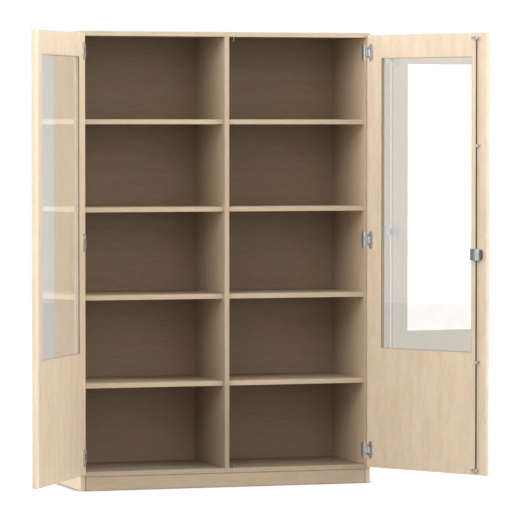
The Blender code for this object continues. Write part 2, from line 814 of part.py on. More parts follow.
def shade_round_pieces():
    """Smooth shading on what is round, with its hard edges kept."""
    for made in CABINET.objects:
        if made.type == "MESH" and len(made.data.polygons) > ROUND_SEGMENTS:
            made.data.shade_smooth()
            made.data.set_sharp_from_angle(angle=math.radians(30.0))


def main():
    build_carcass()
    build_plinth()
    build_shelves()
    build_strike_pins()
    _, left_axis = build_door(LEFT, LEFT_OPEN_ANGLE)
    build_closing_strip(left_axis)
    right_board, right_axis = build_door(RIGHT, RIGHT_OPEN_ANGLE)
    build_lock(right_board, right_axis)
    build_rods(right_axis)
    shade_round_pieces()


main()
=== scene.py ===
"""Looks for a tall cabinet with two glazed doors: maple laminate, glass, cast hinges and a rod lock.

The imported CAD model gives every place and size. This script dresses its boards and fittings with
finishes built from nodes, adds the screws and shelf pins that the solids leave out, and puts the whole
in a plain pale studio. Lengths are in metres.
"""

import json
import logging
import math
from collections.abc import Iterable, Sequence
from dataclasses import dataclass
from enum import Enum

import bmesh
import bpy
from mathutils import Matrix, Vector

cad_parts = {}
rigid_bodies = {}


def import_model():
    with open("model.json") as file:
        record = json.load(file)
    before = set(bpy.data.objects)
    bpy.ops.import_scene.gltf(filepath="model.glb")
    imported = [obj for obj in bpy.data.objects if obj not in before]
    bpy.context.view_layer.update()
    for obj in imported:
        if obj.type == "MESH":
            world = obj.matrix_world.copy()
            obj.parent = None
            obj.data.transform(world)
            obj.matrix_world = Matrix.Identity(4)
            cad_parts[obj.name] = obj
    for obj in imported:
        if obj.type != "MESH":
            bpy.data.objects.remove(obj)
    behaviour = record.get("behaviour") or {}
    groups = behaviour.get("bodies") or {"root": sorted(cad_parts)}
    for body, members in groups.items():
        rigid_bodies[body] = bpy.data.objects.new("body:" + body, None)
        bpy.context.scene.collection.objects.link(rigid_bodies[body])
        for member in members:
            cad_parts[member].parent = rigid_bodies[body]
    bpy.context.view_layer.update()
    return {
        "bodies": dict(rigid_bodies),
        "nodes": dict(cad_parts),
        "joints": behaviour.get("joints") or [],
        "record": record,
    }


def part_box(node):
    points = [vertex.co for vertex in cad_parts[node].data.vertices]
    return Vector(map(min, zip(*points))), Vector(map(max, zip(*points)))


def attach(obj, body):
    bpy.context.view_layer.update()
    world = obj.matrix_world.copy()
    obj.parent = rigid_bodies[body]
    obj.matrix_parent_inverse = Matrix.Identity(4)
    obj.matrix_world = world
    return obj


Colour = tuple[float, float, float]
Place = tuple[float, float, float]
Material = bpy.types.Material
Node = bpy.types.Node
Object = bpy.types.Object
Socket = bpy.types.NodeSocket
Value = float | str | Colour | Socket

LOG = logging.getLogger("cabinet")
WELD_GAP = 0.00001
WHITE: Colour = (1.0, 1.0, 1.0)


class Axis(Enum):
    """An axis of the cabinet or of one of its boards."""

    X = "X"
    Y = "Y"
    Z = "Z"


class Hand(Enum):
    """The two doors, by the sign of the side they hang on."""

    LEFT = -1
    RIGHT = 1

    @property
    def word(self) -> str:
        """The side's name as the CAD nodes spell it."""
        return self.name.lower()


class Grain(Enum):
    """How the printed grain runs on a board, as the stretch of the pattern along X, Y and Z."""

    UPRIGHT = (1.0, 1.0, 0.09)
    LEVEL = (0.09, 1.0, 1.0)

    @property
    def eased(self) -> Place:
        """A gentler stretch, for the broad figures of the pattern."""
        return tuple(max(stretch, 0.30) for stretch in self.value)

    @property
    def bands(self) -> str:
        """The axis that the arches of the pattern follow one another along."""
        return "X" if self is Grain.UPRIGHT else "Z"


class InsideShade(Enum):
    """Which faces of a board line the cabinet's inside, where painted shade darkens the laminate towards
    the back.
    """

    NONE = "none"
    INWARD = "inward"
    ALL = "all"


@dataclass(frozen=True)
class DoorFrame:
    """A door's own frame at rest: u from the hinge axis to the free edge, v towards the inside."""

    hand: Hand
    open_degrees: float
    axis_x: float = 0.594  # distance of the hinge axis from the middle of the cabinet
    axis_y: float = -0.2212

    @property
    def turn(self) -> float:
        """The door's turn about +Z from its closed pose, in radians."""
        return self.hand.value * math.radians(self.open_degrees)

    @property
    def matrix(self) -> Matrix:
        """The matrix from the closed door's coordinates round its axis to the cabinet's."""
        place = Matrix.Translation((self.hand.value * self.axis_x, self.axis_y, 0.0))
        return place @ Matrix.Rotation(self.turn, 4, "Z")

    def point(self, u: float, v: float, z: float) -> Vector:
        """Where a point of the door is in the cabinet's frame."""
        return self.matrix @ Vector((-self.hand.value * u, v, z))

    def inward(self) -> Vector:
        """The direction that the door's inner face looks in."""
        return (self.matrix.to_3x3() @ Vector((0.0, 1.0, 0.0))).normalized()


LEFT_DOOR = DoorFrame(Hand.LEFT, 123.0)
RIGHT_DOOR = DoorFrame(Hand.RIGHT, 121.5)


class NodeSheet:
    """A tree of nodes, with one short call that adds a node and fills its inputs."""

    prefix = ""

    def __init__(self, tree: bpy.types.NodeTree) -> None:
        """Takes up a tree."""
        self.tree = tree

    def add(self, kind: str, sockets: dict | None = None, **settings: object) -> Node:
        """Adds a node.

        Args:
            kind: The node's type without the sheet's prefix.
            sockets: Values for its inputs, or sockets to link to them, by name or index.
            settings: Properties of the node.

        Returns:
            The new node.
        """
        node = self.tree.nodes.new(self.prefix + kind)
        for key, value in settings.items():
            setattr(node, key, value)
        for key, value in (sockets or {}).items():
            self.feed(node.inputs[key], value)
        return node

    def feed(self, target: Socket, value: Value) -> None:
        """Links an input to a socket, or sets it to a value.

        Args:
            target: The input.
            value: The socket or the value; a colour gets an alpha of 1.
        """
        if isinstance(value, Socket):
            self.tree.links.new(value, target)
        else:
            target.default_value = (*value, 1.0) if target.type == "RGBA" else value


class ShaderSheet(NodeSheet):
    """A tree of shader nodes, with short calls for those used here."""

    prefix = "ShaderNode"

    def sum(self, operation: str, first: Value, second: Value = 0.0, clamp: bool = False) -> Socket:
        """One Math node's result, kept between 0 and 1 where it is clamped."""
        return self.add("Math", {0: first, 1: second}, operation=operation, use_clamp=clamp).outputs[0]

    def vector(self, operation: str, first: Value, second: Value = (0.0, 0.0, 0.0)) -> Node:
        """A Vector Math node."""
        return self.add("VectorMath", {0: first, 1: second}, operation=operation)

    def part(self, vector: Socket, axis: Axis) -> Socket:
        """One coordinate of a vector."""
        return self.add("SeparateXYZ", {0: vector}).outputs[axis.value]

    def blend(self, share: Value, start: Value, end: Value, how: str = "MIX") -> Socket:
        """A mix of two colours, the share being the second one's."""
        sockets = {0: share, 6: start, 7: end}
        return self.add("Mix", sockets, data_type="RGBA", blend_type=how).outputs[2]

    def tinted(self, share: Value, colour: Value, tint: Value) -> Socket:
        """A colour multiplied by a tint, as far as the share says."""
        return self.blend(share, colour, tint, "MULTIPLY")

    def span(
        self, value: Value, low: float, high: float, start: float = 0.0, end: float = 1.0
    ) -> Socket:
        """A value carried over from the limits low and high to start and end, and held there."""
        sockets = {0: value, 1: low, 2: high, 3: start, 4: end}
        return self.add("MapRange", sockets, clamp=True).outputs[0]

    def swing(self, noise: Value, reach: float, start: float = 0.0, end: float = 1.0) -> Socket:
        """A noise's swing about 0.5, as far as the reach, carried over to start and end."""
        return self.span(noise, 0.5 - reach, 0.5 + reach, start, end)

    def noise(
        self, place: Socket, scale: float, detail: float = 2.0, rough: float = 0.5, warp: float = 0.0
    ) -> Socket:
        """A noise from 0 to 1 over a surface, its scale in features to the metre."""
        shape = {"Scale": scale, "Detail": detail, "Roughness": rough, "Distortion": warp}
        return self.add("TexNoise", {"Vector": place, **shape}).outputs["Fac"]

    def clouded(self, colour: Colour, scale: float, least: float, reach: float = 0.20) -> Socket:
        """A colour that soft clouds darken, down to the share of it that least gives."""
        clouds = self.swing(self.noise(self.place(), scale), reach)
        return self.tinted(clouds, colour, (least, least, least))

    def place(self) -> Socket:
        """Where a surface is in the cabinet's frame."""
        return self.add("TexCoord").outputs["Object"]

    def turned(self, turn: float, shift: Place = (0.0, 0.0, 0.0)) -> Socket:
        """Where a surface is in the frame of a board turned about +Z, in radians, and shifted."""
        sockets = {"Vector": self.place(), "Rotation": (0.0, 0.0, -turn), "Location": shift}
        return self.add("Mapping", sockets).outputs[0]

    def facing(self, turn: float, axis: Axis) -> Socket:
        """How far a surface faces along an axis of a board turned about +Z, in radians."""
        sockets = {"Vector": self.add("TexCoord").outputs["Normal"], "Rotation": (0.0, 0.0, -turn)}
        return self.part(self.add("Mapping", sockets, vector_type="VECTOR").outputs[0], axis)

    def door_place(self, frame: DoorFrame, axis: Axis) -> Socket:
        """Where a surface is along an axis of a door.

        Args:
            frame: The door's frame.
            axis: X across the door, Y towards the inside, Z up.

        Returns:
            The coordinate.
        """
        back = frame.matrix.inverted()
        turned = {"Location": back.translation, "Rotation": back.to_euler()}
        return self.part(self.add("Mapping", {"Vector": self.place(), **turned}).outputs[0], axis)

    def either(self, share: Value, first: Node, second: Node) -> Node:
        """A mix of two shaders, the share being the second one's."""
        return self.add("MixShader", {0: share, 1: first.outputs[0], 2: second.outputs[0]})


class MaterialSheet(ShaderSheet):
    """A material's nodes, round a Principled shader."""

    def __init__(self, name: str) -> None:
        """Starts the material.

        Args:
            name: Its name.
        """
        self.material = bpy.data.materials.new(name)
        self.material.use_nodes = True
        super().__init__(self.material.node_tree)
        self.shader = self.tree.nodes["Principled BSDF"]

    def set(self, **values: Value) -> None:
        """Feeds inputs of the Principled shader, underscores standing for spaces."""
        for key, value in values.items():
            self.feed(self.shader.inputs[key.replace("_", " ")], value)

    def relief(self, height: Socket, strength: float = 1.0, depth: float = 1.0) -> None:
        """Gives the shader a bump from a height."""
        bump = self.add("Bump", {"Height": height, "Strength": strength, "Distance": depth})
        self.set(Normal=bump.outputs["Normal"])


@dataclass(frozen=True)
class PrintLayer:
    """One layer of a printed pattern: a noise that shows between two of its values."""

    scale: float  # features to the metre
    low: float  # the value at which the layer begins to show
    high: float  # the value at which it shows in full
    share: float = 1.0  # how strongly it shows
    detail: float = 1.0  # octaves of finer noise
    rough: float = 0.5  # how strong the finer noise is
    warp: float = 0.0  # how far the noise distorts itself

    def noise(self, sheet: ShaderSheet, place: Socket) -> Socket:
        """The layer's bare noise over a surface."""
        return sheet.noise(place, self.scale, self.detail, self.rough, self.warp)

    def shown(self, sheet: ShaderSheet, place: Socket) -> Socket:
        """How strongly the layer shows over a surface."""
        return sheet.sum("MULTIPLY", sheet.span(self.noise(sheet, place), self.low, self.high), self.share)


@dataclass(frozen=True)
class PaintedShade:
    """A stretch of a board over which painted shade darkens its colour, such as the shadow in a joint."""

    axis: Axis
    plain: float  # where it begins, from the cabinet's middle or above the floor
    dull: float  # where the painted shade is darkest
    tint: Colour  # what the darkest part multiplies the colour by

    def over(self, sheet: ShaderSheet, colour: Socket) -> Socket:
        """The colour with the painted shade in it."""
        distance = sheet.sum("ABSOLUTE", sheet.part(sheet.place(), self.axis))
        return sheet.tinted(sheet.span(distance, self.plain, self.dull), colour, self.tint)


@dataclass(frozen=True)
class Finish:
    """A finish that becomes one material."""

    name: str

    def material(self) -> Material:
        """Builds the material.

        Returns:
            The material, under the finish's name.
        """
        sheet = MaterialSheet(self.name)
        self.lay_out(sheet)
        return sheet.material

    def lay_out(self, sheet: MaterialSheet) -> None:
        """Adds the nodes to a new material; each kind of finish has its own."""


@dataclass(frozen=True)
class MapleLaminate(Finish):
    """Printed maple laminate on board, with a slightly deeper edge band."""

    grain: Grain
    across: Axis  # the board's thickness, whose side faces carry the edge band
    turn: float = 0.0  # the board's turn about +Z, in radians
    shift: Place = (0.0, 0.0, 0.0)  # where in the pattern the board is cut
    pale: Colour = (0.835, 0.695, 0.532)
    deep: Colour = (0.730, 0.585, 0.424)
    flame: float = 0.24  # what the long arches add to the tone
    streaks: PrintLayer = PrintLayer(15.0, 0.30, 0.72, 0.36, detail=3.0, rough=0.55, warp=0.9)
    clouds: PrintLayer = PrintLayer(48.0, 0.40, 0.62, 0.34, detail=2.0, warp=1.2)
    lines: PrintLayer = PrintLayer(150.0, 0.34, 0.70, 0.22, detail=3.0, rough=0.62)
    drift: PrintLayer = PrintLayer(21.0, 0.38, 0.62, detail=2.0, warp=0.6)  # of the hue
    rosy: Colour = (1.022, 0.989, 0.979)  # what the warmer bands multiply the print by
    greenish: Colour = (0.983, 1.006, 0.990)  # what the cooler bands multiply it by
    dashes: PrintLayer = PrintLayer(250.0, 0.58, 0.70, 0.11)  # short dark marks
    pores: PrintLayer = PrintLayer(620.0, 0.60, 0.74, 0.16)
    mark: Colour = (0.48, 0.33, 0.20)  # the colour of the dashes and pores
    edge_tint: Colour = (0.817, 0.802, 0.775)  # what the edge band multiplies the print by
    inside_shade: InsideShade = InsideShade.NONE
    front_shade_tint: Colour = (0.926, 0.888, 0.862)  # painted shade: what the inside multiplies it by, at the front
    back_shade_tint: Colour = (0.468, 0.439, 0.420)  # and at the back, where the painted shade is darkest
    shade_half_depth: float = 0.20  # half the depth over which the painted shade darkens the inside
    middle: Place = (0.0, 0.0, 0.93)  # the point that the inward faces look at
    # stretches of painted shade, such as the shadow in a joint
    painted_shades: tuple[PaintedShade, ...] = ()
    smooth: float = 0.38  # roughness off the fine lines
    dull: float = 0.50  # roughness on them
    strength: float = 0.10  # of the relief
    depth: float = 0.00025

    def lay_out(self, sheet: MaterialSheet) -> None:
        """Prints the pattern from its broad figures to its pores, paints shade on the inside, edges it,
        then paints its shaded stretches.

        Args:
            sheet: The material's nodes.
        """
        place = sheet.turned(self.turn, self.shift)
        along = sheet.vector("MULTIPLY", place, self.grain.value).outputs[0]
        eased = sheet.vector("MULTIPLY", place, self.grain.eased).outputs[0]
        tone = sheet.sum("MULTIPLY", self._arches(sheet, eased), self.flame)
        for layer, where in ((self.streaks, eased), (self.clouds, eased), (self.lines, along)):
            tone = sheet.sum("ADD", tone, layer.shown(sheet, where), clamp=True)
        hue = sheet.blend(self.drift.shown(sheet, eased), self.rosy, self.greenish)
        colour = sheet.tinted(1.0, sheet.blend(tone, self.pale, self.deep), hue)
        for layer in (self.dashes, self.pores):
            colour = sheet.blend(layer.shown(sheet, along), colour, self.mark)
        colour = self._shaded_inside(sheet, colour)
        edge = sheet.sum("LESS_THAN", sheet.sum("ABSOLUTE", sheet.facing(self.turn, self.across)), 0.5)
        colour = sheet.tinted(edge, colour, self.edge_tint)
        for patch in self.painted_shades:
            colour = patch.over(sheet, colour)
        lines = self.lines.noise(sheet, along)
        sheet.set(Base_Color=colour, Roughness=sheet.swing(lines, 0.25, self.smooth, self.dull))
        sheet.set(Specular_IOR_Level=0.25)
        sheet.relief(lines, self.strength, self.depth)

    def _arches(self, sheet: ShaderSheet, eased: Socket) -> Socket:
        """The long arches of flat-cut maple, from 0 to 1."""
        shape = {"Vector": eased, "Scale": 4.6, "Distortion": 7.5, "Detail": 2.0, "Detail Scale": 1.6}
        return sheet.add("TexWave", shape, bands_direction=self.grain.bands).outputs["Fac"]

    def _shaded_inside(self, sheet: ShaderSheet, colour: Socket) -> Socket:
        """Paints shade over the faces that line the inside, the darker the further back they lie.

        Args:
            sheet: The material's nodes.
            colour: The print's colour.

        Returns:
            The colour with the painted shade.
        """
        if self.inside_shade is InsideShade.NONE:
            return colour
        share = 1.0
        if self.inside_shade is InsideShade.INWARD:
            outward = sheet.vector("SUBTRACT", sheet.place(), self.middle).outputs[0]
            normal = sheet.add("TexCoord").outputs["Normal"]
            away = sheet.vector("DOT_PRODUCT", outward, normal).outputs["Value"]
            share = sheet.sum("LESS_THAN", away, 0.0)
        depth = sheet.span(sheet.part(sheet.place(), Axis.Y), -self.shade_half_depth, self.shade_half_depth)
        return sheet.tinted(share, colour, sheet.blend(depth, self.front_shade_tint, self.back_shade_tint))


@dataclass(frozen=True)
class CoatedGlass(Finish):
    """Float glass with a mirroring coat, a little grey, and a pane that leans a trace in its rebate."""

    tint: Colour  # what the light keeps on its way through the pane
    bend: float  # the index of refraction, which sets how strongly it mirrors
    turn: float  # the turn of the pane's door about +Z, in radians
    lean_degrees: float = 0.0  # how far its surface leans along the door's width
    waves: float = 3.0  # its faint waves to the metre
    wave_height: float = 0.00002

    def lay_out(self, sheet: MaterialSheet) -> None:
        """Makes the clear glass, with its lean and waves as a relief.

        Args:
            sheet: The material's nodes.
        """
        place = sheet.turned(self.turn)
        slope = math.tan(math.radians(self.lean_degrees))
        lean = sheet.sum("MULTIPLY", sheet.part(place, Axis.X), slope)
        lean = sheet.sum("MULTIPLY", lean, sheet.sum("SIGN", sheet.facing(self.turn, Axis.Y)))
        ripple = sheet.sum("MULTIPLY", sheet.noise(place, self.waves, detail=1.0), self.wave_height)
        sheet.set(Base_Color=self.tint, Roughness=0.0, IOR=self.bend, Transmission_Weight=1.0)
        sheet.relief(sheet.sum("ADD", lean, ripple))


@dataclass(frozen=True)
class Metal(Finish):
    """A metal, cast or drawn, with a fine grain in its gloss."""

    colour: Colour
    smooth: float  # the roughness of its smoothest spots
    dull: float  # the roughness of its dullest spots
    grain: float = 900.0  # features to the metre
    metallic: float = 1.0  # less where it is painted
    cloud_size: float = 12.0  # the width of a darker cloud, in features of the grain
    cloud_share: float = 0.78  # what a cloud leaves of the colour
    strength: float = 0.18  # of the grain's relief
    depth: float = 0.00008

    def lay_out(self, sheet: MaterialSheet) -> None:
        """Makes the clouded metal, its grain in the gloss and the relief.

        Args:
            sheet: The material's nodes.
        """
        fine = sheet.noise(sheet.place(), self.grain, detail=3.0, rough=0.6)
        colour = sheet.clouded(self.colour, self.grain / self.cloud_size, self.cloud_share, 0.15)
        sheet.set(Base_Color=self.tone(sheet, colour), Metallic=self.metallic)
        sheet.set(Roughness=sheet.swing(fine, 0.20, self.smooth, self.dull))
        self.emboss(sheet, fine)

    def tone(self, sheet: ShaderSheet, colour: Socket) -> Socket:
        """The colour over the piece; plain metal has one all over."""
        return colour

    def emboss(self, sheet: MaterialSheet, fine: Socket) -> None:
        """Gives the surface its relief."""
        sheet.relief(fine, self.strength, self.depth)


@dataclass(frozen=True)
class DomedMetal(Metal):
    """The metal of the lock's cover, which bows a little across its width and ends in a bent rim with
    painted shade.
    """

    middle: float = -0.560  # the cover's middle line, across the door
    bow: float = 5.0  # half the change of its slope to the metre
    reach: float = 0.05  # how far the bow reaches from the middle line
    rim: float = -0.0110  # where the rim begins, from the middle line
    rim_shade_tint: Colour = (0.34, 0.35, 0.36)  # painted shade: what the rim multiplies the colour by

    def offset(self, sheet: ShaderSheet) -> Socket:
        """Distance from the middle line."""
        return sheet.sum("SUBTRACT", sheet.door_place(RIGHT_DOOR, Axis.X), self.middle)

    def tone(self, sheet: ShaderSheet, colour: Socket) -> Socket:
        """Paints shade on the rim."""
        return sheet.tinted(sheet.sum("LESS_THAN", self.offset(sheet), self.rim), colour, self.rim_shade_tint)

    def emboss(self, sheet: MaterialSheet, fine: Socket) -> None:
        """Gives the surface its grain on top of the bow.

        Args:
            sheet: The material's nodes.
            fine: The grain's value.
        """
        across = sheet.span(self.offset(sheet), -self.reach, self.reach, -self.reach, self.reach)
        fall = sheet.sum("MULTIPLY", sheet.sum("MULTIPLY", across, across), -self.bow)
        grain = sheet.sum("MULTIPLY", fine, self.strength * self.depth)
        sheet.relief(sheet.sum("ADD", fall, grain))


@dataclass(frozen=True)
class HingePlateMetal(DomedMetal):
    """The painted metal of a hinge's fixed half: a plate that bows towards its long edges, and an arm.

    The middle line is the plate's, along Y. What the lock's cover has as a rim is the arm here, and it
    takes painted shade.
    """

    metallic: float = 0.5
    middle: float = -0.1885
    bow: float = 26.0
    reach: float = 0.0185
    rim: float = -0.0187
    # painted shade on the arm
    rim_shade_tint: Colour = (0.95, 0.95, 0.96)

    def offset(self, sheet: ShaderSheet) -> Socket:
        """Distance from the middle line."""
        return sheet.sum("SUBTRACT", sheet.part(sheet.place(), Axis.Y), self.middle)


@dataclass(frozen=True)
class MouldedPlastic(Finish):
    """Coloured plastic with a faint orange-peel surface."""

    colour: Colour
    smooth: float  # the roughness of its smoothest spots
    dull: float  # the roughness of its dullest spots
    peel: float = 700.0  # features to the metre
    clouds: float = 22.0  # darker clouds to the metre
    strength: float = 0.10  # of the peel's relief
    depth: float = 0.00006

    def lay_out(self, sheet: MaterialSheet) -> None:
        """Makes the clouded plastic, its peel in the gloss and the relief.

        Args:
            sheet: The material's nodes.
        """
        peel = sheet.noise(sheet.place(), self.peel)
        rough = sheet.swing(peel, 0.20, self.smooth, self.dull)
        sheet.set(Base_Color=sheet.clouded(self.colour, self.clouds, 0.93), Roughness=rough)
        sheet.relief(peel, self.strength, self.depth)


@dataclass(frozen=True)
class RevealShadedBead(Finish):
    """A glazing bead in the board's colour, with painted shade along the arris of its reveal."""

    frame: DoorFrame
    colour: Colour = (0.82, 0.68, 0.52)
    # painted shade on the reveal's walls near the arris
    reveal_shade: Colour = (0.25, 0.18, 0.12)
    reveal_shade_start: float = 0.0046  # where the painted shade begins, above the middle of the door's board
    level: float = 0.75  # how squarely a face looks inwards before it counts as the level top
    smooth: float = 0.40  # the roughness of its smoothest spots
    dull: float = 0.52  # the roughness of its dullest spots

    def lay_out(self, sheet: MaterialSheet) -> None:
        """Makes the bead's clouded colour and paints shade along its reveal.

        Args:
            sheet: The material's nodes.
        """
        high = sheet.sum("GREATER_THAN", sheet.door_place(self.frame, Axis.Y), self.reveal_shade_start)
        steep = sheet.sum("LESS_THAN", sheet.facing(self.frame.turn, Axis.Y), self.level)
        plain = sheet.clouded(self.colour, 60.0, 0.9)
        reveal_shaded = sheet.blend(sheet.sum("MULTIPLY", high, steep), plain, self.reveal_shade)
        sheet.set(Base_Color=reveal_shaded, Specular_IOR_Level=0.3)
        fine = sheet.noise(sheet.place(), 500.0)
        sheet.set(Roughness=sheet.swing(fine, 0.20, self.smooth, self.dull))


def paint(piece: Object, material: Material) -> None:
    """Gives a piece one material in place of what it had."""
    piece.data.materials.clear()
    piece.data.materials.append(material)


def modify(piece: Object, name: str, kind: str, **settings: object) -> bpy.types.Modifier:
    """Gives a piece a modifier.

    Args:
        piece: The piece.
        name: The modifier's name.
        kind: Its type.
        settings: Its properties.

    Returns:
        The modifier.
    """
    modifier = piece.modifiers.new(name, kind)
    for key, value in settings.items():
        setattr(modifier, key, value)
    return modifier


def linked(name: str, data: bpy.types.ID) -> Object:
    """Makes an object and links it to the scene.

    Args:
        name: Its name.
        data: Its mesh, lamp or camera.

    Returns:
        The object.
    """
    made = bpy.data.objects.new(name, data)
    bpy.context.scene.collection.objects.link(made)
    return made


def as_object(name: str, shape: bmesh.types.BMesh) -> Object:
    """Makes an object of a shape and frees the shape.

    Args:
        name: The object's name.
        shape: The shape.

    Returns:
        The object.
    """
    mesh = bpy.data.meshes.new(name)
    shape.to_mesh(mesh)
    shape.free()
    return linked(name, mesh)


def worked_mesh(piece: Object) -> bpy.types.Mesh:
    """A copy of a piece's mesh with its modifiers worked in."""
    graph = bpy.context.evaluated_depsgraph_get()
    return bpy.data.meshes.new_from_object(piece.evaluated_get(graph))


class ShapeSheet(NodeSheet):
    """A Geometry Nodes tree that takes a geometry and other inputs, and gives a geometry."""

    def __init__(self, name: str, **inputs: str) -> None:
        """Starts the tree.

        Args:
            name: Its name.
            inputs: The types of its inputs past the geometry.
        """
        super().__init__(bpy.data.node_groups.new(name, "GeometryNodeTree"))
        new_socket = self.tree.interface.new_socket
        self.inputs = {
            label: new_socket(label, in_out="INPUT", socket_type="NodeSocket" + kind)
            for label, kind in {"Geometry": "Geometry", **inputs}.items()
        }
        new_socket("Geometry", in_out="OUTPUT", socket_type="NodeSocketGeometry")
        self.given = self.add("NodeGroupInput").outputs

    def give(self, node: Node) -> None:
        """Makes a node's geometry the tree's result."""
        self.add("NodeGroupOutput", {"Geometry": node.outputs["Geometry"]})


class SmoothShading(ShapeSheet):
    """A node tree that shades a CAD node smooth except across its hard edges."""

    def __init__(self, limit_degrees: float = 32.0) -> None:
        """Builds the tree.

        Args:
            limit_degrees: Edges sharper than this stay hard.
        """
        super().__init__("smooth_shading", Limit="Float")
        self.inputs["Limit"].default_value = math.radians(limit_degrees)
        faces = self.add("GeometryNodeSetShadeSmooth", {"Geometry": self.given["Geometry"]}, domain="FACE")
        bend = self.add("GeometryNodeInputMeshEdgeAngle").outputs["Unsigned Angle"]
        flat = self.add("FunctionNodeCompare", {0: bend, 1: self.given["Limit"]}, operation="LESS_THAN")
        sockets = {"Geometry": faces.outputs["Geometry"], "Shade Smooth": flat.outputs[0]}
        self.give(self.add("GeometryNodeSetShadeSmooth", sockets, domain="EDGE"))

    def apply(self, piece: Object) -> None:
        """Puts the tree on a piece as a modifier."""
        modify(piece, "smooth_shading", "NODES", node_group=self.tree)


@dataclass
class EdgeRounding:
    """Rounds a CAD node's arrises with modifiers and leaves its mesh alone."""

    width: float
    steps: int  # faces round it
    shading: SmoothShading
    flat_degrees: float = 0.5  # faces that meet at less than this are joined first
    arris_degrees: float = 40.0  # edges sharper than this are rounded
    area_weight: int = 90  # how far the large faces lead the shading

    def apply(self, piece: Object) -> None:
        """Adds the modifiers to a piece.

        Args:
            piece: The CAD node.
        """
        modify(piece, "weld", "WELD", merge_threshold=WELD_GAP)
        flat = math.radians(self.flat_degrees)
        modify(piece, "flatten", "DECIMATE", decimate_type="DISSOLVE", angle_limit=flat)
        shape = {"width": self.width, "segments": self.steps}
        arris = math.radians(self.arris_degrees)
        modify(piece, "rounding", "BEVEL", limit_method="ANGLE", angle_limit=arris, **shape)
        self.shading.apply(piece)
        lead = {"mode": "FACE_AREA", "weight": self.area_weight, "keep_sharp": True}
        modify(piece, "level_faces", "WEIGHTED_NORMAL", **lead)


@dataclass
class Spot:
    """A place for a repeated small piece, and the way it faces."""

    place: Vector
    facing: Vector


class Scatter(ShapeSheet):
    """A node tree that puts one small piece on many spots, each turned to its own facing."""

    def __init__(self, name: str) -> None:
        """Builds the tree.

        Args:
            name: The tree's name.
        """
        super().__init__(name, Piece="Object", Size="Float", Finish="Material")
        given = self.given
        facing = self.add("GeometryNodeInputNamedAttribute", {"Name": "facing"}, data_type="FLOAT_VECTOR")
        sockets = {"Vector": facing.outputs["Attribute"]}
        turn = self.add("FunctionNodeAlignRotationToVector", sockets, axis="Z")
        piece = self.add("GeometryNodeObjectInfo", {"Object": given["Piece"]})
        sockets = {"Points": given["Geometry"], "Instance": piece.outputs["Geometry"]}
        sockets |= {"Rotation": turn.outputs["Rotation"], "Scale": given["Size"]}
        spread = self.add("GeometryNodeInstanceOnPoints", sockets)
        real = self.add("GeometryNodeRealizeInstances", {"Geometry": spread.outputs["Instances"]})
        sockets = {"Geometry": real.outputs["Geometry"], "Material": given["Finish"]}
        self.give(self.add("GeometryNodeSetMaterial", sockets))

    def build(
        self, name: str, spots: Sequence[Spot], piece: Object, finish: Material, size: float = 1.0
    ) -> Object:
        """Puts the small piece on the spots and makes the result one plain mesh.

        Args:
            name: The new piece's name.
            spots: Where the copies go.
            piece: What is repeated.
            finish: The copies' material.
            size: The copies' scale.

        Returns:
            The new piece, at the origin.
        """
        mesh = bpy.data.meshes.new(name + "_spots")
        mesh.from_pydata([spot.place for spot in spots], [], [])
        facing = mesh.attributes.new("facing", "FLOAT_VECTOR", "POINT")
        for item, spot in zip(facing.data, spots):
            item.vector = spot.facing
        carrier = linked(name + "_spots", mesh)
        step = modify(carrier, "scatter", "NODES", node_group=self.tree)
        for label, value in (("Piece", piece), ("Size", size), ("Finish", finish)):
            step[self.inputs[label].identifier] = value
        made = linked(name, worked_mesh(carrier))
        made.data.name = name
        bpy.data.objects.remove(carrier, do_unlink=True)
        bpy.data.meshes.remove(mesh)
        LOG.info("%s: %d in all", name, len(spots))
        return made


@dataclass
class Turned:
    """A small turned piece, made by spinning a profile of radii and heights round Z."""

    profile: Sequence[tuple[float, float]]  # from the bottom to the top
    sides: int = 20

    def mesh(self) -> bmesh.types.BMesh:
        """Builds the spun shape, closed at both ends.

        Returns:
            The shape.
        """
        shape = bmesh.new()
        angles = [2 * math.pi * side / self.sides for side in range(self.sides)]
        rings = [
            [shape.verts.new((wide * math.cos(angle), wide * math.sin(angle), height)) for angle in angles]
            for wide, height in self.profile
        ]
        for low, high in zip(rings, rings[1:]):
            for side in range(self.sides):
                after = (side + 1) % self.sides
                shape.faces.new((low[side], low[after], high[after], high[side]))
        shape.faces.new(list(reversed(rings[0])))
        shape.faces.new(rings[-1])
        return shape


@dataclass
class CrossScrew:
    """A countersunk screw's head with a cross recess, its seat at height 0."""

    radius: float = 0.0036
    dome: float = 0.0009  # how far the head stands out
    under: float = 0.0012  # how far it reaches below its seat
    bevel: float = 0.0002  # how far below its seat it is at its widest
    slot: float = 0.12  # half the width of a recess arm, as a share of the radius
    reach: float = 0.56  # an arm's length, as such a share
    sink: float = 0.42  # the recess's depth, as such a share

    def build(self) -> Object:
        """Makes the head, with its recess cut out of it.

        Returns:
            The head, to be repeated.
        """
        radius, dome = self.radius, self.dome
        foot = ((radius * 0.72, -self.under), (radius, -self.bevel))
        crown = ((radius * 0.97, dome * 0.35), (radius * 0.78, dome * 0.80), (radius * 0.45, dome))
        blank = as_object("screw_head", Turned(foot + crown).mesh())
        size = [2 * radius * share for share in (self.reach, self.slot, self.sink)]
        cutters = []
        for turn in (0.0, math.pi / 2):
            arm = bmesh.new()
            bmesh.ops.create_cube(arm, size=1.0)
            lift = Matrix.Translation((0.0, 0.0, dome)) @ Matrix.Rotation(turn, 4, "Z")
            for matrix in (Matrix.Diagonal((*size, 1.0)), lift):
                bmesh.ops.transform(arm, matrix=matrix, verts=arm.verts)
            cutters.append(as_object("screw_cutter", arm))
            cut = {"object": cutters[-1], "operation": "DIFFERENCE", "solver": "EXACT"}
            modify(blank, "recess", "BOOLEAN", **cut)
        mesh = worked_mesh(blank)
        for extra in (*cutters, blank):
            bpy.data.objects.remove(extra, do_unlink=True)
        return linked("screw_head", mesh)


